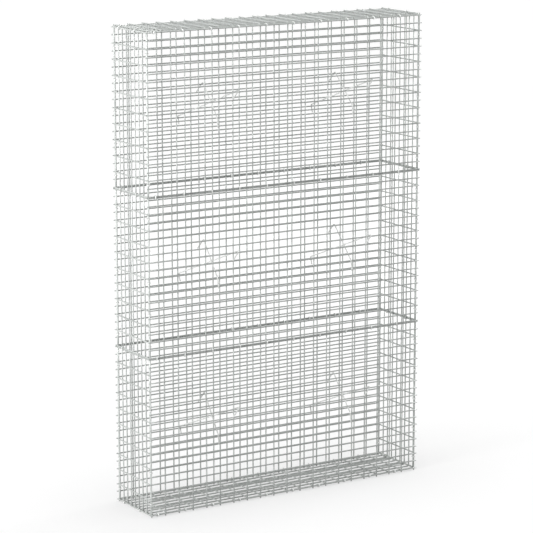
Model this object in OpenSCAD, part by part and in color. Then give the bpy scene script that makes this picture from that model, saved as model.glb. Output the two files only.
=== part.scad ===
// Free-standing gabion wall unit: an empty welded-mesh basket, 1000 x 208 x 1509 mm over
// the mesh, built as three tiers of flat panels on one base panel under one lid panel.
// Millimetres, +Z up, X along the length, front face towards -Y, lowest wire tips at Z = 0.

/* [Mesh] */
// distance between the first and last upright wires of a long panel
wall_len = 1000; // [600:50:2000]
// distance between the uprights of the front and back panels
wall_dep = 208.6; // [150:0.1:500]
// number of close pitches up one tier
tier_rows = 20; // [8:1:24]
// number of tiers
tiers = 3; // [3:1:3]
// close mesh pitch
pitch_a = 25; // [20:1:60]
// wide mesh pitch
pitch_b = 50; // [40:1:120]
// wire thickness of the panels
wire = 4; // [3:0.1:6]
// side of the square bar that stands in for the round wire in the solids
bar = 3.5; // [2.5:0.5:5.5]

/* [Fits] */
// clear gap between neighbouring wires of two panels
gap = 0.3; // [0.1:0.05:1]
// wire ends standing out past the last level wire of a long panel
end_over = 7; // [2:0.5:12]
// wire tips below the lowest level wire
tip = 7.5; // [3:0.5:12]

/* [Rings] */
// ring wire thickness
ring_wire = 3; // [2:0.1:4]
// distance between rings along a seam
ring_pitch = 100; // [50:5:200]
// distance of the first ring from the end of a long seam
ring_first = 21; // [10:1:45]

/* [Ties] */
// tie rod thickness
tie_wire = 4; // [3:0.1:6]

/* [Hidden] */
r = wire / 2;
b = bar / 2;
sink = bar; // crossing bars share a square of contact at each weld
step = wire + gap;
tier_h = tier_rows * pitch_a;
tier_step = tier_h + step;
n_up = wall_len / pitch_b;
hx = wall_len / 2;
hy = wall_dep / 2;
sy = hy - step;
n_side = 8;
side_pitch = 2 * sy / n_side;
z0 = tip;
base_z = z0 - 1.5;
lid_z = z0 + 2 * tier_step + tier_h + 1.5;
cap_x = hx - step;
top_z = z0 + 2 * tier_step + tier_h;
h_y = hy + sink;
h_x = hx + sink;
n_ring = wall_len / ring_pitch;
side_ring_y = [-1.5 * pitch_a, 2.5 * pitch_a];
corner_rings = 5;
tie_y = h_y + wire + 0.2;
ring_r = r + gap + ring_wire / 2 + 0.25;

// straight four-sided bars along one axis, with flats facing the axes
module bar_x(x1, x2, y, z)
  translate([x1, y - b, z - b])
    cube([x2 - x1, bar, bar]);

module bar_y(y1, y2, x, z)
  translate([x - b, y1, z - b])
    cube([bar, y2 - y1, bar]);

module bar_z(z1, z2, x, y)
  translate([x - b, y - b, z1])
    cube([bar, bar, z2 - z1]);

// reach of the uprights below and above the end wires of tier t
function low_end(t) = t == 0 ? tip : step / 2 - gap / 2;
function top_end(t) = t == tiers - 1 ? tip : step / 2 - gap / 2;

// long panel of tier t on side s (-1 front, 1 back)
module long_panel(t, s) {
  zb = z0 + t * tier_step;
  union() {
    for (i = [0 : n_up])
      bar_z(zb - low_end(t), zb + tier_h + top_end(t), -hx + i * pitch_b, s * hy);
    for (j = [0 : tier_rows])
      bar_x(-hx - end_over, hx + end_over, s * (hy + sink), zb + j * pitch_a);
  }
}

// end panel of tier t on side s (-1 left, 1 right)
module end_panel(t, s) {
  zb = z0 + t * tier_step;
  union() {
    for (i = [0 : n_side])
      bar_z(zb - min(low_end(t), r), zb + tier_h + min(top_end(t), r), s * hx, -sy + i * side_pitch);
    for (j = [0 : tier_rows / 2])
      bar_y(-sy - r - 0.1, sy + r + 0.1, s * (hx + sink), zb + j * pitch_b);
  }
}

// flat panel closing the base or the lid, lengthwise wires at height z
module cap_panel(z) {
  union() {
    for (i = [0 : n_side])
      bar_x(-cap_x - r, cap_x + r, -sy + i * side_pitch, z);
    for (i = [0 : n_up])
      bar_y(-sy - r, sy + r, -cap_x + i * 2 * cap_x / n_up, z + sink);
  }
}

// closing ring lying in its own X-Y plane, round two wires a distance e apart along X
module ring(e) {
  union() {
    for (s = [-1, 1])
      translate([s * e / 2, 0, 0]) rotate([0, 0, -s * 90])
        rotate_extrude(angle = 180, $fn = 24)
          translate([ring_r, 0])
            circle(d = ring_wire, $fn = 24);
    for (s = [-1, 1])
      translate([-e / 2, s * ring_r, 0]) rotate([0, 90, 0])
        cylinder(h = e, d = ring_wire, $fn = 24);
  }
}

// length rounded so that half of it is a whole number of hundredths
function even(l) = round(l * 50) / 50;

// ring round two lengthwise wires at (y, z) = a and b, at length position x
module ring_along_x(x, a, b)
  translate([x, (a[0] + b[0]) / 2, (a[1] + b[1]) / 2]) rotate([90, 0, 90])
    rotate([0, 0, atan2(b[1] - a[1], b[0] - a[0])])
      ring(even(norm(b - a)));

// ring round two crosswise wires at (x, z) = a and b, at depth position y
module ring_along_y(y, a, b)
  translate([(a[0] + b[0]) / 2, y, (a[1] + b[1]) / 2]) rotate([90, 0, 0])
    rotate([0, 0, atan2(b[1] - a[1], b[0] - a[0])])
      ring(even(norm(b - a)));

// rings of one level: long seams joined at (y, z) points, end seams at (x, z) points,
// given for the back and the right, and mirrored to the front and the left
module ring_level(ya, yb, xa, xb)
  for (s = [-1, 1]) {
    for (i = [0 : n_ring - 1])
      ring_along_x(-hx + ring_first + i * ring_pitch, [s * ya[0], ya[1]], [s * yb[0], yb[1]]);
    for (y = side_ring_y)
      ring_along_y(y, [s * xa[0], xa[1]], [s * xb[0], xb[1]]);
  }

// rings down one corner, where the end upright of a long panel meets the first of an end panel
module ring_corner(sx, sy_)
  for (t = [0 : tiers - 1])
    for (i = [0 : corner_rings - 1])
      translate([sx * hx, sy_ * (hy - step / 2), z0 + t * tier_step + 1.5 * pitch_a + i * ring_pitch])
        rotate([0, 0, 90])
          ring(step);

// straight round rod between two points
module rod(a, b)
  translate(a)
    rotate([0, acos((b[2] - a[2]) / norm(b - a)), atan2(b[1] - a[1], b[0] - a[0])])
      cylinder(h = norm(b - a), d = tie_wire, $fn = 24);

// tie rod hooked over a level wire of the front and of the back mesh at its two ends
module tie(p)
  union() {
    for (i = [0 : len(p) - 2])
      rod(p[i], p[i + 1]);
    for (i = [1 : len(p) - 2])
      translate(p[i])
        sphere(d = tie_wire * 1.02, $fn = 24);
  }

// the two rods of the cross in half c (0 left, 1 right) of tier t
function spot(t, c, x, y, z) = [-hx + c * wall_len / 2 + x, y, z0 + t * tier_step + z];
module tie_rise(t, c)
  tie([spot(t, c, 233, tie_y, 179), spot(t, c, 228, tie_y, 205),
    spot(t, c, 318, -tie_y, 307), spot(t, c, 294, -tie_y, 277)]);
module tie_fall(t, c)
  tie([spot(t, c, 297, tie_y, 277), spot(t, c, 320, tie_y, 306.5),
    spot(t, c, 238, -tie_y, 229.5), spot(t, c, 242, -tie_y, 195)]);

zinc = [0.72, 0.74, 0.74];
bright = [0.8, 0.81, 0.8];
module front_lower() color(zinc) long_panel(0, -1);
module front_middle() color(zinc) long_panel(1, -1);
module front_upper() color(zinc) long_panel(2, -1);
module back_lower() color(zinc) long_panel(0, 1);
module back_middle() color(zinc) long_panel(1, 1);
module back_upper() color(zinc) long_panel(2, 1);
module left_lower() color(zinc) end_panel(0, -1);
module left_middle() color(zinc) end_panel(1, -1);
module left_upper() color(zinc) end_panel(2, -1);
module right_lower() color(zinc) end_panel(0, 1);
module right_middle() color(zinc) end_panel(1, 1);
module right_upper() color(zinc) end_panel(2, 1);
module base_panel() color(zinc) cap_panel(base_z);
module lid_panel() color(zinc) cap_panel(lid_z);
module tie_lower_left_rise() color(bright) tie_rise(0, 0);
module tie_lower_left_fall() color(bright) tie_fall(0, 0);
module tie_lower_right_rise() color(bright) tie_rise(0, 1);
module tie_lower_right_fall() color(bright) tie_fall(0, 1);
module tie_middle_left_rise() color(bright) tie_rise(1, 0);
module tie_middle_left_fall() color(bright) tie_fall(1, 0);
module tie_middle_right_rise() color(bright) tie_rise(1, 1);
module tie_middle_right_fall() color(bright) tie_fall(1, 1);
module tie_upper_left_rise() color(bright) tie_rise(2, 0);
module tie_upper_left_fall() color(bright) tie_fall(2, 0);
module tie_upper_right_rise() color(bright) tie_rise(2, 1);
module tie_upper_right_fall() color(bright) tie_fall(2, 1);
module rings_base() color(bright) ring_level([h_y, z0], [sy, base_z], [h_x, z0], [cap_x, base_z + sink]);
module rings_seam_low() color(bright) ring_level([h_y, z0 + tier_h], [h_y, z0 + tier_step],
  [h_x, z0 + tier_h], [h_x, z0 + tier_step]);
module rings_seam_high() color(bright) ring_level([h_y, z0 + tier_step + tier_h], [h_y, z0 + 2 * tier_step],
  [h_x, z0 + tier_step + tier_h], [h_x, z0 + 2 * tier_step]);
module rings_lid() color(bright) ring_level([h_y, top_z], [sy, lid_z], [h_x, top_z], [cap_x, lid_z + sink]);
module rings_front_left() color(bright) ring_corner(-1, -1);
module rings_front_right() color(bright) ring_corner(1, -1);
module rings_back_left() color(bright) ring_corner(-1, 1);
module rings_back_right() color(bright) ring_corner(1, 1);

front_lower();
front_middle();
front_upper();
back_lower();
back_middle();
back_upper();
left_lower();
left_middle();
left_upper();
right_lower();
right_middle();
right_upper();
base_panel();
lid_panel();
tie_lower_left_rise();
tie_lower_left_fall();
tie_lower_right_rise();
tie_lower_right_fall();
tie_middle_left_rise();
tie_middle_left_fall();
tie_middle_right_rise();
tie_middle_right_fall();
tie_upper_left_rise();
tie_upper_left_fall();
tie_upper_right_rise();
tie_upper_right_fall();
rings_base();
rings_seam_low();
rings_seam_high();
rings_lid();
rings_front_left();
rings_front_right();
rings_back_left();
rings_back_right();
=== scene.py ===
import math

import bpy
import numpy as np
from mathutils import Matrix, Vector


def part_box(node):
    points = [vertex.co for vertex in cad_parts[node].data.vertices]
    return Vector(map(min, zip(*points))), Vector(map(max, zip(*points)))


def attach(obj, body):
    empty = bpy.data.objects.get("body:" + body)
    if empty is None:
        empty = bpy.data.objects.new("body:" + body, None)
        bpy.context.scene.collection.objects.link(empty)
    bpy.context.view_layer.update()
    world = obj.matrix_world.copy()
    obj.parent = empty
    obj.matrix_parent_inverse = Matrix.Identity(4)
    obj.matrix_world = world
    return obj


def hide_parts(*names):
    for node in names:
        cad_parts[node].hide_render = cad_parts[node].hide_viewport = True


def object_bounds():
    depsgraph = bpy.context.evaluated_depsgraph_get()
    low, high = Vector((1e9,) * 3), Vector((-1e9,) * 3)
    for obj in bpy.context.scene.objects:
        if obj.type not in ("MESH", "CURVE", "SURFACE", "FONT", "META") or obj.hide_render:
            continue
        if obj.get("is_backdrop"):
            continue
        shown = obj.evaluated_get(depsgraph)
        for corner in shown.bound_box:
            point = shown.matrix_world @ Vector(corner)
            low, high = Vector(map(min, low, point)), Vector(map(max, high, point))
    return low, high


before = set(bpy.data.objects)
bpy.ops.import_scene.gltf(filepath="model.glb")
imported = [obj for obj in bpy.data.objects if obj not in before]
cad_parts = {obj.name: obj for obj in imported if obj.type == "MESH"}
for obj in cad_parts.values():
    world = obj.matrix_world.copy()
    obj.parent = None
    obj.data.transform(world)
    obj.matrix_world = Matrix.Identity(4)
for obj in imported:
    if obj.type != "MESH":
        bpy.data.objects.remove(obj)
cadLow, cadHigh = (Vector(corner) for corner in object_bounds())
print("frame loaded, box", tuple(cadLow), tuple(cadHigh))

chance = np.random.default_rng(41)  # one seeded source for every small irregularity

# sizes shared by all the mesh panels, in metres
basket = {
    "halfLength": 0.5,  # middle of the basket to the first and last upright of a long panel
    "closePitch": 0.025,
    "widePitch": 0.05,
    "closeRows": 20,
    "wideRows": 10,
    "barHalf": 0.00175,  # half of the solid's square bar, from its face to its axis
    "wireRadius": 0.00212,
    "edge": 0.002,  # nominal half wire, from a panel's edge to the axis of its outermost wire
    "chamfer": 0.00045,  # what the cropping shear takes off a wire's end
    "stray": 0.00008,  # how far a wire wanders from straight
    "sink": 0.0035,  # axis to axis where two wires are welded
    "longUprights": 21,
    "capHalf": 0.1,  # middle plane to the first and last upright of an end panel
    "capUprights": 9,
    "tipBelow": {"lower": 0.0075, "middle": 0.002, "upper": 0.002},  # under the lowest level wire
}
tiers = ("lower", "middle", "upper")


# ---- surfaces as arrays

# puts a surface's points, faces, map and per-point values into a mesh: the corner list is the
# quads' corners in a row, then the triangles' corners. The piece stands for its node.
def placePiece(name, node, surface, material):
    mesh = bpy.data.meshes.new(name)
    points, quads, tris = surface["points"], surface["quads"], surface["tris"]
    corners = np.concatenate([quads.ravel(), tris.ravel()]).astype(np.int32)
    starts = np.concatenate([np.arange(len(quads)) * 4, 4 * len(quads) + np.arange(len(tris)) * 3])
    mesh.vertices.add(len(points))
    mesh.vertices.foreach_set("co", points.astype(np.float32).ravel())
    mesh.loops.add(len(corners))
    mesh.loops.foreach_set("vertex_index", corners)
    mesh.polygons.add(len(starts))
    mesh.polygons.foreach_set("loop_start", starts.astype(np.int32))
    mesh.polygons.foreach_set("use_smooth", np.full(len(starts), True))
    mesh.update(calc_edges=True)
    for label in ("tone", "weld", "cut"):
        layer = mesh.attributes.new(label, "FLOAT", "POINT")
        layer.data.foreach_set("value", surface[label].astype(np.float32))
    layer = mesh.uv_layers.new(name="wireMap")
    layer.data.foreach_set("uv", surface["uv"].astype(np.float32)[corners].ravel())
    mesh.validate()
    mesh.materials.append(material)
    piece = bpy.data.objects.new(name, mesh)
    bpy.context.scene.collection.objects.link(piece)
    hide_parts(node)
    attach(piece, "root")


# joins several surfaces into one, moving each one's point numbers past those before it
def joinSurfaces(surfaces):
    count = 0
    parts = {"points": [], "quads": [], "tris": [], "tone": [], "weld": [], "cut": [], "uv": []}
    for surface in surfaces:
        for key in ("points", "tone", "weld", "cut", "uv"):
            parts[key].append(surface[key])
        parts["quads"].append(surface["quads"] + count)
        parts["tris"].append(surface["tris"] + count)
        count += len(surface["points"])
    return {key: np.concatenate(numbers) for key, numbers in parts.items()}


# tubes along many paths at once. A tube's point is the path's centre plus radius times
# (cosine of the turn along one sideways direction plus sine along the other). The centres
# are an array (tube, station, 3), the radii (tube, station), the sideways directions
# (tube, station, 3). A closed tube joins its last station to its first; an open one gets
# a fan of triangles to a middle point at each end.
def tubeSurface(centres, radii, sideA, sideB, sides, tone, weld, closed=False):
    tubes, stations, _ = centres.shape
    turn = np.arange(sides) * 2 * math.pi / sides
    around = (np.cos(turn)[None, None, :, None] * sideA[:, :, None, :]
              + np.sin(turn)[None, None, :, None] * sideB[:, :, None, :])
    ringPoints = centres[:, :, None, :] + radii[:, :, None, None] * around
    step = np.linalg.norm(np.diff(centres, axis=1), axis=2)
    along = np.concatenate([np.zeros((tubes, 1)), np.cumsum(step, axis=1)], axis=1)
    number = np.arange(tubes * stations * sides).reshape(tubes, stations, sides)
    following = np.roll(number, -1, axis=2)
    if closed:
        quads = np.stack([number, following, np.roll(following, -1, 1), np.roll(number, -1, 1)], -1)
    else:
        quads = np.stack([number[:, :-1], following[:, :-1], following[:, 1:], number[:, 1:]], -1)
    points = ringPoints.reshape(-1, 3)
    toneAll = np.repeat(tone, stations * sides)
    weldAll = np.repeat(weld.reshape(-1), sides)
    cutAll = np.zeros(len(points))
    shift = chance.random(tubes) * 7
    uv = np.stack([np.broadcast_to(turn / (2 * math.pi), number.shape).ravel(),
                   np.repeat((along + shift[:, None]).reshape(-1), sides)], -1)
    tris = np.zeros((0, 3), int)
    if not closed:
        first = len(points) + np.arange(tubes)
        last = first + tubes
        startFan = np.stack([np.broadcast_to(first[:, None], (tubes, sides)),
                             following[:, 0], number[:, 0]], -1)
        endFan = np.stack([np.broadcast_to(last[:, None], (tubes, sides)),
                           number[:, -1], following[:, -1]], -1)
        tris = np.concatenate([startFan.reshape(-1, 3), endFan.reshape(-1, 3)])
        points = np.concatenate([points, centres[:, 0], centres[:, -1]])
        toneAll = np.concatenate([toneAll, tone, tone])
        weldAll = np.concatenate([weldAll, np.zeros(2 * tubes)])
        cutAll = np.concatenate([cutAll, np.ones(2 * tubes)])
        uv = np.concatenate([uv, np.stack([np.full(tubes, 0.5), along[:, 0]], -1),
                             np.stack([np.full(tubes, 0.5), along[:, -1]], -1)])
    return {"points": points, "quads": quads.reshape(-1, 4), "tris": tris,
            "tone": toneAll, "weld": weldAll, "cut": cutAll, "uv": uv}


# straight drawn wires between two sets of end points. The stations stand at even steps
# with one more close to each end, where the radius drops by the small chamfer that the
# cropping shear leaves. The centre line strays sideways by a slow sine.
def straightWires(starts, ends, radius, stations, sides):
    starts, ends = np.asarray(starts, float), np.asarray(ends, float)
    length = np.linalg.norm(ends - starts, axis=1)
    direction = (ends - starts) / length[:, None]
    chamfer = basket["chamfer"]
    share = np.concatenate([[0.0], np.linspace(0, 1, stations), [1.0]])
    reach = share[None, :] * (length[:, None] - 2 * chamfer) + chamfer
    reach[:, 0] = 0
    reach[:, -1] = length
    axisIndex = np.argmax(np.abs(direction), axis=1)
    helper = np.eye(3)[(axisIndex + 1) % 3]
    sideA = np.cross(direction, helper)
    sideA /= np.linalg.norm(sideA, axis=1)[:, None]
    sideB = np.cross(direction, sideA)
    phase = chance.random((2, len(starts))) * 2 * math.pi
    strayA = basket["stray"] * np.sin(reach * 9 + phase[0][:, None])
    strayB = basket["stray"] * np.sin(reach * 7 + phase[1][:, None])
    centres = (starts[:, None, :] + reach[:, :, None] * direction[:, None, :]
               + strayA[:, :, None] * sideA[:, None, :] + strayB[:, :, None] * sideB[:, None, :])
    radii = np.full(reach.shape, radius)
    radii[:, 0] -= chamfer
    radii[:, -1] -= chamfer
    tone = chance.random(len(starts))
    weld = np.zeros(reach.shape)
    shape = centres.shape
    return tubeSurface(centres, radii, np.broadcast_to(sideA[:, None, :], shape),
                       np.broadcast_to(sideB[:, None, :], shape), sides, tone, weld)


# flattened weld beads: each is a squashed ball, where height is the sine and width the
# cosine of the latitude, spread by three half sizes along the two wires and the panel's normal
def weldBeads(middles, alongA, alongB, normal, halfSizes, rows=4, sides=8):
    middles = np.asarray(middles, float)
    count = len(middles)
    latitude = np.linspace(-math.pi / 2, math.pi / 2, rows + 1)[1:-1]
    turn = np.arange(sides) * 2 * math.pi / sides
    grow = 0.9 + 0.25 * chance.random((count, 1, 1, 3))
    unit = np.stack([np.cos(latitude)[:, None] * np.cos(turn)[None, :],
                     np.cos(latitude)[:, None] * np.sin(turn)[None, :],
                     np.broadcast_to(np.sin(latitude)[:, None], (rows - 1, sides))], -1)
    axes = np.stack([alongA, alongB, normal])
    local = unit[None] * np.asarray(halfSizes) * grow
    shell = (middles[:, None, None, :] + local @ axes).reshape(-1, 3)
    tips = np.concatenate([middles - grow[:, 0, 0, 2:] * halfSizes[2] * normal,
                           middles + grow[:, 0, 0, 2:] * halfSizes[2] * normal])
    number = np.arange(count * (rows - 1) * sides).reshape(count, rows - 1, sides)
    following = np.roll(number, -1, axis=2)
    quads = np.stack([number[:, :-1], following[:, :-1], following[:, 1:], number[:, 1:]], -1)
    low = len(shell) + np.arange(count)
    high = low + count
    lowFan = np.stack([np.broadcast_to(low[:, None], (count, sides)),
                       following[:, 0], number[:, 0]], -1)
    highFan = np.stack([np.broadcast_to(high[:, None], (count, sides)),
                        number[:, -1], following[:, -1]], -1)
    points = np.concatenate([shell, tips])
    tris = np.concatenate([lowFan.reshape(-1, 3), highFan.reshape(-1, 3)])
    if np.dot(np.cross(alongA, alongB), normal) < 0:
        quads = quads[..., ::-1]
        tris = tris[:, ::-1]
    return {"points": points, "quads": quads.reshape(-1, 4), "tris": tris,
            "tone": np.full(len(points), 0.5), "weld": np.ones(len(points)),
            "cut": np.zeros(len(points)), "uv": points[:, :2] * 40}


# ---- finishes

def newGroup(name, inputs, outputs):
    group = bpy.data.node_groups.new(name, "ShaderNodeTree")
    for label, kind, value in inputs:
        socket = group.interface.new_socket(label, in_out="INPUT", socket_type=kind)
        if value is not None:
            socket.default_value = value
    for label, kind in outputs:
        group.interface.new_socket(label, in_out="OUTPUT", socket_type=kind)
    return group


def addNode(tree, kind, at=(0, 0), **settings):
    node = tree.nodes.new(kind)
    node.location = at
    for key, value in settings.items():
        setattr(node, key, value)
    return node


# patches of crystal-like zinc at one scale: cell edges and cell tones mixed with slow clouds
def makeSpangleGroup():
    group = newGroup("zincSpangle",
                     [("Vector", "NodeSocketVector", None), ("Scale", "NodeSocketFloat", 420.0),
                      ("Dark", "NodeSocketColor", (0.5, 0.52, 0.51, 1)),
                      ("Light", "NodeSocketColor", (0.72, 0.74, 0.73, 1)),
                      ("Tone", "NodeSocketFloat", 0.5)],
                     [("Color", "NodeSocketColor"), ("Roughness", "NodeSocketFloat"),
                      ("Height", "NodeSocketFloat")])
    entry = addNode(group, "NodeGroupInput", (-900, 0))
    leave = addNode(group, "NodeGroupOutput", (700, 0))
    cells = addNode(group, "ShaderNodeTexVoronoi", (-650, 200), feature="F1")
    cellTone = addNode(group, "ShaderNodeSeparateColor", (-450, 200))
    clouds = addNode(group, "ShaderNodeTexNoise", (-650, -100))
    clouds.inputs["Scale"].default_value = 14
    clouds.inputs["Detail"].default_value = 3
    grain = addNode(group, "ShaderNodeTexNoise", (-650, -350))
    grain.inputs["Scale"].default_value = 2600
    grain.inputs["Detail"].default_value = 2
    for texture in (cells, clouds, grain):
        group.links.new(entry.outputs["Vector"], texture.inputs["Vector"])
    group.links.new(entry.outputs["Scale"], cells.inputs["Scale"])
    group.links.new(cells.outputs["Color"], cellTone.inputs["Color"])
    # cell tone and clouds each give half of the mix, and the wire's own tone tips it
    halves = addNode(group, "ShaderNodeMath", (-250, 100), operation="ADD")
    group.links.new(cellTone.outputs["Red"], halves.inputs[0])
    group.links.new(clouds.outputs["Fac"], halves.inputs[1])
    third = addNode(group, "ShaderNodeMath", (-80, 100), operation="ADD")
    group.links.new(halves.outputs[0], third.inputs[0])
    group.links.new(entry.outputs["Tone"], third.inputs[1])
    share = addNode(group, "ShaderNodeMapRange", (90, 100))
    share.inputs["From Min"].default_value = 0.55
    share.inputs["From Max"].default_value = 2.15
    group.links.new(third.outputs[0], share.inputs["Value"])
    colour = addNode(group, "ShaderNodeMix", (300, 150), data_type="RGBA")
    group.links.new(share.outputs[0], colour.inputs["Factor"])
    group.links.new(entry.outputs["Dark"], colour.inputs["A"])
    group.links.new(entry.outputs["Light"], colour.inputs["B"])
    group.links.new(colour.outputs["Result"], leave.inputs["Color"])
    rough = addNode(group, "ShaderNodeMapRange", (300, -80))
    rough.inputs["To Min"].default_value = 0.58
    rough.inputs["To Max"].default_value = 0.36
    group.links.new(share.outputs[0], rough.inputs["Value"])
    group.links.new(rough.outputs[0], leave.inputs["Roughness"])
    height = addNode(group, "ShaderNodeMath", (300, -300), operation="MULTIPLY_ADD")
    height.inputs[1].default_value = 0.6
    group.links.new(grain.outputs["Fac"], height.inputs[0])
    group.links.new(cellTone.outputs["Green"], height.inputs[2])
    group.links.new(height.outputs[0], leave.inputs["Height"])
    return group


# long faint lines that the drawing die leaves: noise stretched along the wire's own map
def makeDrawLineGroup():
    group = newGroup("drawLines",
                     [("Vector", "NodeSocketVector", None), ("Around", "NodeSocketFloat", 16.0),
                      ("Along", "NodeSocketFloat", 9.0)],
                     [("Mask", "NodeSocketFloat")])
    entry = addNode(group, "NodeGroupInput", (-700, 0))
    leave = addNode(group, "NodeGroupOutput", (300, 0))
    stretch = addNode(group, "ShaderNodeCombineXYZ", (-500, -120))
    group.links.new(entry.outputs["Around"], stretch.inputs[0])
    group.links.new(entry.outputs["Along"], stretch.inputs[1])
    scaled = addNode(group, "ShaderNodeVectorMath", (-300, 0), operation="MULTIPLY")
    group.links.new(entry.outputs["Vector"], scaled.inputs[0])
    group.links.new(stretch.outputs[0], scaled.inputs[1])
    lines = addNode(group, "ShaderNodeTexNoise", (-120, 0))
    lines.inputs["Scale"].default_value = 1.0
    lines.inputs["Detail"].default_value = 4
    group.links.new(scaled.outputs[0], lines.inputs["Vector"])
    sharpen = addNode(group, "ShaderNodeMapRange", (90, 0))
    sharpen.inputs["From Min"].default_value = 0.35
    sharpen.inputs["From Max"].default_value = 0.7
    group.links.new(lines.outputs["Fac"], sharpen.inputs["Value"])
    group.links.new(sharpen.outputs[0], leave.inputs["Mask"])
    return group


spangleGroup = makeSpangleGroup()
drawLineGroup = makeDrawLineGroup()


def putGroup(tree, group, at, **values):
    node = addNode(tree, "ShaderNodeGroup", at, node_tree=group)
    for label, value in values.items():
        node.inputs[label].default_value = value
    return node


# hot-dip zinc on steel wire: spangle colour, dulled by die lines, greyer at the welds,
# and bare steel in the middle of each cropped end
def makeZinc(name, look):
    material = bpy.data.materials.new(name)
    material.use_nodes = True
    tree = material.node_tree
    tree.nodes.clear()
    output = addNode(tree, "ShaderNodeOutputMaterial", (1300, 0))
    shader = addNode(tree, "ShaderNodeBsdfPrincipled", (1000, 0))
    tree.links.new(shader.outputs[0], output.inputs[0])
    shader.inputs["Metallic"].default_value = look["metallic"]
    shader.inputs["IOR"].default_value = 1.5
    place = addNode(tree, "ShaderNodeTexCoord", (-900, 200))
    wireMap = addNode(tree, "ShaderNodeUVMap", (-900, -100), uv_map="wireMap")
    tone = addNode(tree, "ShaderNodeAttribute", (-900, 0), attribute_name="tone")
    weld = addNode(tree, "ShaderNodeAttribute", (-300, -500), attribute_name="weld")
    cut = addNode(tree, "ShaderNodeAttribute", (-300, -700), attribute_name="cut")
    spangle = putGroup(tree, spangleGroup, (-600, 200), Scale=look["spangle"],
                       Dark=(*look["dark"], 1), Light=(*look["light"], 1))
    tree.links.new(place.outputs["Object"], spangle.inputs["Vector"])
    tree.links.new(tone.outputs["Fac"], spangle.inputs["Tone"])
    lines = putGroup(tree, drawLineGroup, (-600, -100), Around=look["linesAround"],
                     Along=look["linesAlong"])
    tree.links.new(wireMap.outputs[0], lines.inputs["Vector"])
    lined = addNode(tree, "ShaderNodeMix", (-100, 200), data_type="RGBA", blend_type="MULTIPLY")
    lined.inputs["B"].default_value = (*look["lineColour"], 1)
    tree.links.new(spangle.outputs["Color"], lined.inputs["A"])
    tree.links.new(lines.outputs["Mask"], lined.inputs["Factor"])
    welded = addNode(tree, "ShaderNodeMix", (200, 200), data_type="RGBA")
    welded.inputs["B"].default_value = (*look["weldColour"], 1)
    weldShare = addNode(tree, "ShaderNodeMath", (0, -350), operation="MULTIPLY")
    weldShare.inputs[1].default_value = look["weldShare"]
    tree.links.new(weld.outputs["Fac"], weldShare.inputs[0])
    tree.links.new(weldShare.outputs[0], welded.inputs["Factor"])
    tree.links.new(lined.outputs["Result"], welded.inputs["A"])
    cropped = addNode(tree, "ShaderNodeMix", (500, 200), data_type="RGBA")
    cropped.inputs["B"].default_value = (*look["cutColour"], 1)
    cutShare = addNode(tree, "ShaderNodeMapRange", (200, -650))
    cutShare.inputs["From Min"].default_value = 0.25
    cutShare.inputs["From Max"].default_value = 0.75
    tree.links.new(cut.outputs["Fac"], cutShare.inputs["Value"])
    tree.links.new(cutShare.outputs[0], cropped.inputs["Factor"])
    tree.links.new(welded.outputs["Result"], cropped.inputs["A"])
    tree.links.new(cropped.outputs["Result"], shader.inputs["Base Color"])
    rougher = addNode(tree, "ShaderNodeMath", (500, -100), operation="MULTIPLY_ADD")
    rougher.inputs[1].default_value = 0.12
    tree.links.new(lines.outputs["Mask"], rougher.inputs[0])
    tree.links.new(spangle.outputs["Roughness"], rougher.inputs[2])
    tree.links.new(rougher.outputs[0], shader.inputs["Roughness"])
    bump = addNode(tree, "ShaderNodeBump", (750, -350))
    bump.inputs["Strength"].default_value = look["bump"]
    bump.inputs["Distance"].default_value = 0.00008
    tree.links.new(spangle.outputs["Height"], bump.inputs["Height"])
    tree.links.new(bump.outputs[0], shader.inputs["Normal"])
    return material


meshZinc = makeZinc("meshZinc", {
    "metallic": 0.35, "spangle": 420.0, "dark": (0.40, 0.415, 0.405), "light": (0.60, 0.62, 0.605),
    "linesAround": 16.0, "linesAlong": 9.0, "lineColour": (0.82, 0.83, 0.83),
    "weldColour": (0.42, 0.43, 0.42), "weldShare": 0.5, "cutColour": (0.22, 0.21, 0.20), "bump": 0.35})
tieZinc = makeZinc("tieZinc", {
    "metallic": 0.4, "spangle": 360.0, "dark": (0.58, 0.59, 0.58), "light": (0.80, 0.81, 0.80),
    "linesAround": 12.0, "linesAlong": 7.0, "lineColour": (0.88, 0.88, 0.88),
    "weldColour": (0.6, 0.6, 0.6), "weldShare": 0.0, "cutColour": (0.2, 0.19, 0.18), "bump": 0.25})
ringZinc = makeZinc("ringZinc", {
    "metallic": 0.45, "spangle": 600.0, "dark": (0.66, 0.67, 0.66), "light": (0.86, 0.87, 0.86),
    "linesAround": 10.0, "linesAlong": 14.0, "lineColour": (0.9, 0.9, 0.9),
    "weldColour": (0.6, 0.6, 0.6), "weldShare": 0.0, "cutColour": (0.3, 0.29, 0.28), "bump": 0.2})
print("finishes made")


# ---- mesh panels

panelLook = {"sides": 10, "uprightStations": 12, "levelStations": 22, "beadAlong": 0.0025,
             "beadDeep": 0.0011}


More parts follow.
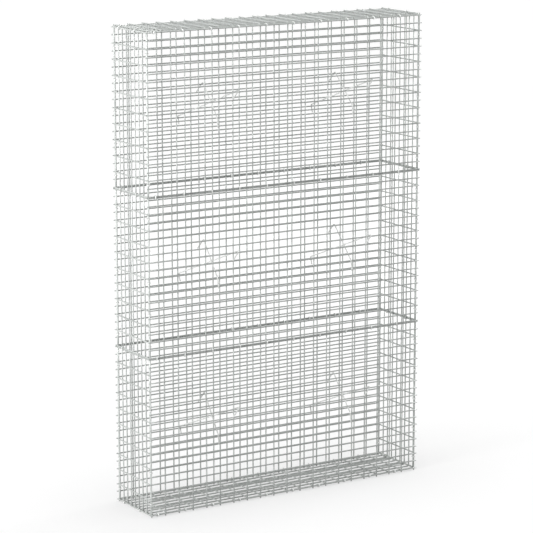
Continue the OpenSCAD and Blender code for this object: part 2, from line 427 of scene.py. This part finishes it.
# one flat mesh panel from two families of wires. Family A runs along axisA at the given
# places of axisB, family B the other way; B lies on the outer side of A by one sink.
def meshPanel(node, axisA, axisB, normal, placesA, rangeA, placesB, rangeB, depthA):
    axisA, axisB, normal = (np.asarray(v, float) for v in (axisA, axisB, normal))
    placesA, placesB = np.asarray(placesA), np.asarray(placesB)
    depthB = depthA + basket["sink"]
    startA = rangeA[0] * axisA + placesA[:, None] * axisB + depthA * normal
    endA = rangeA[1] * axisA + placesA[:, None] * axisB + depthA * normal
    startB = rangeB[0] * axisB + placesB[:, None] * axisA + depthB * normal
    endB = rangeB[1] * axisB + placesB[:, None] * axisA + depthB * normal
    wiresA = straightWires(startA, endA, basket["wireRadius"],
                           panelLook["uprightStations"], panelLook["sides"])
    wiresB = straightWires(startB, endB, basket["wireRadius"],
                           panelLook["levelStations"], panelLook["sides"])
    crossA, crossB = np.meshgrid(placesB, placesA, indexing="ij")
    middles = (crossA.reshape(-1, 1) * axisA + crossB.reshape(-1, 1) * axisB
               + (depthA + basket["sink"] / 2) * normal)
    beads = weldBeads(middles, axisA, axisB, normal,
                      (panelLook["beadAlong"], panelLook["beadAlong"], panelLook["beadDeep"]))
    placePiece("mesh_" + node, node, joinSurfaces([wiresA, wiresB, beads]), meshZinc)


east, north, up = np.eye(3)
uprightPlaces = np.linspace(-1, 1, basket["longUprights"]) * basket["halfLength"]
capPlaces = np.linspace(-1, 1, basket["capUprights"]) * basket["capHalf"]
for side, sign in (("front", -1), ("back", 1)):
    for tier in tiers:
        node = side + "_" + tier
        low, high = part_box(node)
        inner = min(abs(low[1]), abs(high[1])) + basket["barHalf"]
        rows = np.arange(basket["closeRows"] + 1) * basket["closePitch"]
        meshPanel(node, up, east, sign * north, uprightPlaces, (low[2], high[2]),
                  low[2] + basket["tipBelow"][tier] + rows, (low[0], high[0]), inner)
print("long panels made")

for side, sign in (("left", -1), ("right", 1)):
    for tier in tiers:
        node = side + "_" + tier
        low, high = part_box(node)
        inner = min(abs(low[0]), abs(high[0])) + basket["barHalf"]
        rows = low[2] + basket["edge"] + np.arange(basket["wideRows"] + 1) * basket["widePitch"]
        meshPanel(node, up, north, sign * east, capPlaces, (low[2], high[2]),
                  rows, (low[1], high[1]), inner)
print("end panels made")

for node in ("base_panel", "lid_panel"):
    low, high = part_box(node)
    depth = low[2] + basket["barHalf"]
    crossPlaces = np.linspace(low[0] + basket["edge"], high[0] - basket["edge"], basket["longUprights"])
    meshPanel(node, east, north, up, capPlaces, (low[0], high[0]),
              crossPlaces, (low[1], high[1]), depth)
print("base and lid made")


# ---- tie rods

tieRod = {"radius": 0.002, "bend": 0.004, "sides": 12, "bendSteps": 9, "shaftSteps": 10,
          "depth": 0.112, "tipShare": 0.15, "tipLoss": 0.0004}
tierFoot = {tier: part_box("left_" + tier)[0][2] + basket["edge"] for tier in tiers}
tiePoints = {
    "rise": ((0.233, 1, 0.179), (0.228, 1, 0.205), (0.318, -1, 0.307), (0.294, -1, 0.277)),
    "fall": ((0.297, 1, 0.277), (0.320, 1, 0.3065), (0.238, -1, 0.2295), (0.242, -1, 0.195)),
}


# a path through corner points, each corner rounded by a circle arc that touches both runs:
# the arc starts bend * tan(half the turn) before the corner and sweeps the turn
def roundedPath(corners, bend, bendSteps, shaftSteps):
    corners = np.asarray(corners, float)
    path = [corners[:1]]
    for before, corner, after in zip(corners[:-2], corners[1:-1], corners[2:]):
        inward = (corner - before) / np.linalg.norm(corner - before)
        onward = (after - corner) / np.linalg.norm(after - corner)
        turn = math.acos(float(np.clip(inward @ onward, -1, 1)))
        setback = bend * math.tan(turn / 2)
        across = onward - (onward @ inward) * inward
        across /= np.linalg.norm(across)
        begin = corner - setback * inward
        sweep = np.linspace(0, turn, bendSteps)[:, None]
        arc = begin + bend * np.sin(sweep) * inward + bend * (1 - np.cos(sweep)) * across
        gap = path[-1][-1]
        run = gap + np.linspace(0, 1, shaftSteps + 1)[1:-1, None] * (begin - gap)
        path += [run, arc]
    gap = path[-1][-1]
    path.append(gap + np.linspace(0, 1, shaftSteps + 1)[1:, None] * (corners[-1] - gap))
    return np.concatenate(path)


# sideways directions carried along a path with the least turning: the first is any
# direction square to the path, and each next one is the last with its part along the
# new direction taken out
def carriedSides(path):
    forward = np.gradient(path, axis=0)
    forward /= np.linalg.norm(forward, axis=1)[:, None]
    side = np.cross(forward[0], np.eye(3)[np.argmin(np.abs(forward[0]))])
    sides = []
    for direction in forward:
        side = side - (side @ direction) * direction
        side /= np.linalg.norm(side)
        sides.append(side)
    sideA = np.array(sides)
    return sideA, np.cross(forward, sideA)


for tier in tiers:
    for half, offset in (("left", 0.0), ("right", 0.5)):
        for lean, points in tiePoints.items():
            corners = [(-basket["halfLength"] + offset + x, y * tieRod["depth"], tierFoot[tier] + z)
                       for x, y, z in points]
            path = roundedPath(corners, tieRod["bend"], tieRod["bendSteps"], tieRod["shaftSteps"])
            chamfered = np.concatenate([
                path[:1], path[:1] + (path[1:2] - path[:1]) * tieRod["tipShare"], path[1:-1],
                path[-1:] + (path[-2:-1] - path[-1:]) * tieRod["tipShare"], path[-1:]])
            sideA, sideB = carriedSides(chamfered)
            radii = np.full((1, len(chamfered)), tieRod["radius"])
            radii[0, [0, -1]] -= tieRod["tipLoss"]
            surface = tubeSurface(chamfered[None], radii, sideA[None], sideB[None], tieRod["sides"],
                                  chance.random(1), np.zeros((1, len(chamfered))))
            node = "tie_" + tier + "_" + half + "_" + lean
            placePiece("rod_" + node, node, surface, tieZinc)
print("tie rods made")


# ---- closing rings

ring = {"radius": 0.0015, "centreRadius": 0.0038, "sides": 8, "stations": 20, "split": 0.0016,
        "tilt": 0.0007, "tipLoss": 0.0002}


# many open oval rings at once. A ring's centre line is two half circles joined by straight
# runs: walking an even share of its whole length, the point is on a run or on a half circle.
# The share starts and ends half a split from the middle of one straight run.
def ringSurface(middles, longAxis, shortAxis, wireGap):
    middles = np.asarray(middles, float)
    longAxis, shortAxis = np.asarray(longAxis, float), np.asarray(shortAxis, float)
    radius = ring["centreRadius"]
    arc = math.pi * radius
    whole = 2 * arc + 2 * wireGap
    walked = np.linspace(ring["split"] / 2, whole - ring["split"] / 2, ring["stations"]) + wireGap / 2
    walked = np.mod(walked, whole)
    onFirst = walked < wireGap
    onTurn = (walked >= wireGap) & (walked < wireGap + arc)
    onSecond = (walked >= wireGap + arc) & (walked < 2 * wireGap + arc)
    angleA = (walked - wireGap) / radius
    angleB = (walked - 2 * wireGap - arc) / radius
    alongLong = np.select([onFirst, onTurn, onSecond],
                          [walked - wireGap / 2, wireGap / 2 + radius * np.sin(angleA),
                           wireGap / 2 - (walked - wireGap - arc)],
                          -wireGap / 2 - radius * np.sin(angleB))
    alongShort = np.select([onFirst, onTurn, onSecond],
                           [np.full_like(walked, -radius), -radius * np.cos(angleA),
                            np.full_like(walked, radius)],
                           radius * np.cos(angleB))
    path = alongLong[:, None] * longAxis + alongShort[:, None] * shortAxis
    forward = np.gradient(path, axis=0)
    forward /= np.linalg.norm(forward, axis=1)[:, None]
    flatNormal = np.cross(longAxis, shortAxis)
    outward = np.cross(forward, flatNormal)
    tilt = (chance.random((len(middles), 1, 1)) - 0.5) * ring["tilt"]
    centres = middles[:, None, :] + path[None] + tilt * alongLong[None, :, None] / radius * flatNormal
    shape = centres.shape
    radii = np.full(shape[:2], ring["radius"])
    radii[:, [0, -1]] -= ring["tipLoss"]
    return tubeSurface(centres, radii, np.broadcast_to(outward, shape),
                       np.broadcast_to(np.cross(forward, outward), shape), ring["sides"],
                       chance.random(len(middles)), np.zeros(shape[:2]))


# rings that tie two wires, whose axes pass through pointA and pointB, at given places along run
def seamRings(pointA, pointB, run, places):
    pointA, pointB, run = (np.asarray(v, float) for v in (pointA, pointB, run))
    apart = pointB - pointA
    wireGap = float(np.linalg.norm(apart))
    longAxis = apart / wireGap
    shortAxis = np.cross(run, longAxis)
    middles = (pointA + pointB) / 2 + np.asarray(places)[:, None] * run
    return ringSurface(middles, longAxis, shortAxis, wireGap)


# axes that the rings close over, from the middle planes, and where the rings stand
seam = {"levelDepth": 0.1078, "levelReach": 0.5035, "capReach": 0.4957, "cornerDepth": 0.1043,
        "pitch": 0.1, "longFirst": -0.479, "longCount": 10, "endPlaces": (-0.0375, 0.0625),
        "cornerFirst": 0.0375, "cornerCount": 5}
levelDepth, levelReach = seam["levelDepth"], seam["levelReach"]
capDepth, capReach = basket["capHalf"], seam["capReach"]
tierHead = {tier: tierFoot[tier] + basket["closeRows"] * basket["closePitch"] for tier in tiers}
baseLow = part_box("base_panel")[0][2] + basket["barHalf"]
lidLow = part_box("lid_panel")[0][2] + basket["barHalf"]
longPlaces = seam["longFirst"] + seam["pitch"] * np.arange(seam["longCount"])
endPlaces = np.array(seam["endPlaces"])
levels = {
    "rings_base": ((levelDepth, tierFoot["lower"]), (capDepth, baseLow),
                   (levelReach, tierFoot["lower"]), (capReach, baseLow + basket["sink"])),
    "rings_seam_low": ((levelDepth, tierHead["lower"]), (levelDepth, tierFoot["middle"]),
                       (levelReach, tierHead["lower"]), (levelReach, tierFoot["middle"])),
    "rings_seam_high": ((levelDepth, tierHead["middle"]), (levelDepth, tierFoot["upper"]),
                        (levelReach, tierHead["middle"]), (levelReach, tierFoot["upper"])),
    "rings_lid": ((levelDepth, tierHead["upper"]), (capDepth, lidLow),
                  (levelReach, tierHead["upper"]), (capReach, lidLow + basket["sink"])),
}
for node, (longOuter, longInner, endOuter, endInner) in levels.items():
    surfaces = []
    for sign in (-1, 1):
        surfaces.append(seamRings((0, sign * longOuter[0], longOuter[1]),
                                  (0, sign * longInner[0], longInner[1]), east, longPlaces))
        surfaces.append(seamRings((sign * endOuter[0], 0, endOuter[1]),
                                  (sign * endInner[0], 0, endInner[1]), north, endPlaces))
    placePiece("clips_" + node, node, joinSurfaces(surfaces), ringZinc)

cornerSteps = seam["cornerFirst"] + seam["pitch"] * np.arange(seam["cornerCount"])
cornerHeights = np.concatenate([tierFoot[tier] + cornerSteps for tier in tiers])
for node, signX, signY in (("rings_front_left", -1, -1), ("rings_front_right", 1, -1),
                           ("rings_back_left", -1, 1), ("rings_back_right", 1, 1)):
    reach = signX * basket["halfLength"]
    surface = seamRings((reach, signY * seam["cornerDepth"], 0), (reach, signY * basket["capHalf"], 0),
                        up, cornerHeights)
    placePiece("clips_" + node, node, surface, ringZinc)
print("closing rings made")


# ---- floor, light and camera

# one where a ray comes from the camera, a mirror-like surface or clear stuff, else nought
def seenDirectly(tree, at):
    path = addNode(tree, "ShaderNodeLightPath", at)
    either = addNode(tree, "ShaderNodeMath", (at[0] + 200, at[1]), operation="MAXIMUM")
    anyOfThree = addNode(tree, "ShaderNodeMath", (at[0] + 400, at[1]), operation="MAXIMUM")
    tree.links.new(path.outputs["Is Camera Ray"], either.inputs[0])
    tree.links.new(path.outputs["Is Glossy Ray"], either.inputs[1])
    tree.links.new(either.outputs[0], anyOfThree.inputs[0])
    tree.links.new(path.outputs["Is Transmission Ray"], anyOfThree.inputs[1])
    return anyOfThree.outputs[0]


# a pale matt floor that glows for the camera by what the lamps leave short of white. The glow
# is farGlow less lampShare divided by the square of (one plus the square of distance / spread),
# so the floor is evenly white and still takes the basket's shadow
floorLook = {"reach": 60.0, "colour": 0.35, "farGlow": 0.93, "lampShare": 0.34, "spread": 6.0}


def makeFloor():
    reach = floorLook["reach"]
    mesh = bpy.data.meshes.new("floor")
    mesh.from_pydata([(-reach, -reach, 0), (reach, -reach, 0), (reach, reach, 0), (-reach, reach, 0)],
                     [], [(0, 1, 2, 3)])
    floor = bpy.data.objects.new("floor", mesh)
    bpy.context.scene.collection.objects.link(floor)
    material = bpy.data.materials.new("paleFloor")
    material.use_nodes = True
    tree = material.node_tree
    tree.nodes.clear()
    output = addNode(tree, "ShaderNodeOutputMaterial", (800, 0))
    shader = addNode(tree, "ShaderNodeBsdfPrincipled", (400, 0))
    shader.inputs["Base Color"].default_value = (*[floorLook["colour"]] * 3, 1)
    shader.inputs["Roughness"].default_value = 1.0
    shader.inputs["Specular IOR Level"].default_value = 0.0
    shader.inputs["Emission Strength"].default_value = 1.0
    place = addNode(tree, "ShaderNodeTexCoord", (-800, -200))
    square = addNode(tree, "ShaderNodeVectorMath", (-650, -200), operation="DOT_PRODUCT")
    tree.links.new(place.outputs["Object"], square.inputs[0])
    tree.links.new(place.outputs["Object"], square.inputs[1])
    grown = addNode(tree, "ShaderNodeMath", (-500, -200), operation="MULTIPLY_ADD")
    tree.links.new(square.outputs["Value"], grown.inputs[0])
    grown.inputs[1].default_value = 1 / floorLook["spread"] ** 2
    grown.inputs[2].default_value = 1.0
    fall = addNode(tree, "ShaderNodeMath", (-350, -200), operation="POWER")
    tree.links.new(grown.outputs[0], fall.inputs[0])
    fall.inputs[1].default_value = -2.0
    glow = addNode(tree, "ShaderNodeMath", (-220, -200), operation="MULTIPLY_ADD")
    tree.links.new(fall.outputs[0], glow.inputs[0])
    glow.inputs[1].default_value = -floorLook["lampShare"]
    glow.inputs[2].default_value = floorLook["farGlow"]
    share = addNode(tree, "ShaderNodeMath", (-100, -200), operation="MULTIPLY")
    tree.links.new(glow.outputs[0], share.inputs[0])
    tree.links.new(seenDirectly(tree, (-800, 200)), share.inputs[1])
    tree.links.new(share.outputs[0], shader.inputs["Emission Color"])
    tree.links.new(shader.outputs[0], output.inputs[0])
    mesh.materials.append(material)
    floor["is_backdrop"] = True


def makeWorld(ambient):
    world = bpy.data.worlds.new("studio")
    bpy.context.scene.world = world
    world.use_nodes = True
    tree = world.node_tree
    tree.nodes.clear()
    output = addNode(tree, "ShaderNodeOutputWorld", (600, 0))
    room = addNode(tree, "ShaderNodeBackground", (0, 100))
    room.inputs["Strength"].default_value = ambient
    white = addNode(tree, "ShaderNodeBackground", (0, -100))
    for background in (room, white):
        background.inputs["Color"].default_value = (1, 1, 1, 1)
    mix = addNode(tree, "ShaderNodeMixShader", (300, 0))
    tree.links.new(seenDirectly(tree, (-600, 0)), mix.inputs[0])
    tree.links.new(room.outputs[0], mix.inputs[1])
    tree.links.new(white.outputs[0], mix.inputs[2])
    tree.links.new(mix.outputs[0], output.inputs[0])


# a round soft lamp aimed at the middle of the basket. Its watts are the level it gives there
# (1 shows a colour as written) times the square of pi times the square of the distance
def addLamp(name, place, size, level):
    middle = (cadLow + cadHigh) / 2
    place = Vector(place)
    lamp = bpy.data.lights.new(name, "AREA")
    lamp.shape = "DISK"
    lamp.size = size
    lamp.energy = level * math.pi ** 2 * (place - middle).length_squared
    lampObject = bpy.data.objects.new(name, lamp)
    lampObject.location = place
    lampObject.rotation_euler = (middle - place).to_track_quat("-Z", "Y").to_euler()
    bpy.context.scene.collection.objects.link(lampObject)


makeFloor()
makeWorld(0.22)
addLamp("leftSoftbox", (-7.0, -0.8, 1.6), 4.0, 1.2)
addLamp("rightSoftbox", (7.0, 0.8, 1.6), 4.0, 1.0)
addLamp("overhead", (0.0, 0.0, 6.0), 3.0, 0.75)

view = {"place": (-4.0622, -6.494, 2.319), "turn": 31.947, "tilt": 11.732, "lens": 165.0}
camera = bpy.data.cameras.new("camera")
camera.sensor_width = 36.0
camera.lens = view["lens"]
camera.clip_start, camera.clip_end = 0.1, 200
cameraObject = bpy.data.objects.new("camera", camera)
cameraObject.location = view["place"]
cameraObject.rotation_euler = (math.radians(90 - view["tilt"]), 0, math.radians(-view["turn"]))
bpy.context.scene.collection.objects.link(cameraObject)
bpy.context.scene.camera = cameraObject
bpy.context.scene.view_settings.view_transform = "Standard"

print("stage and camera set")
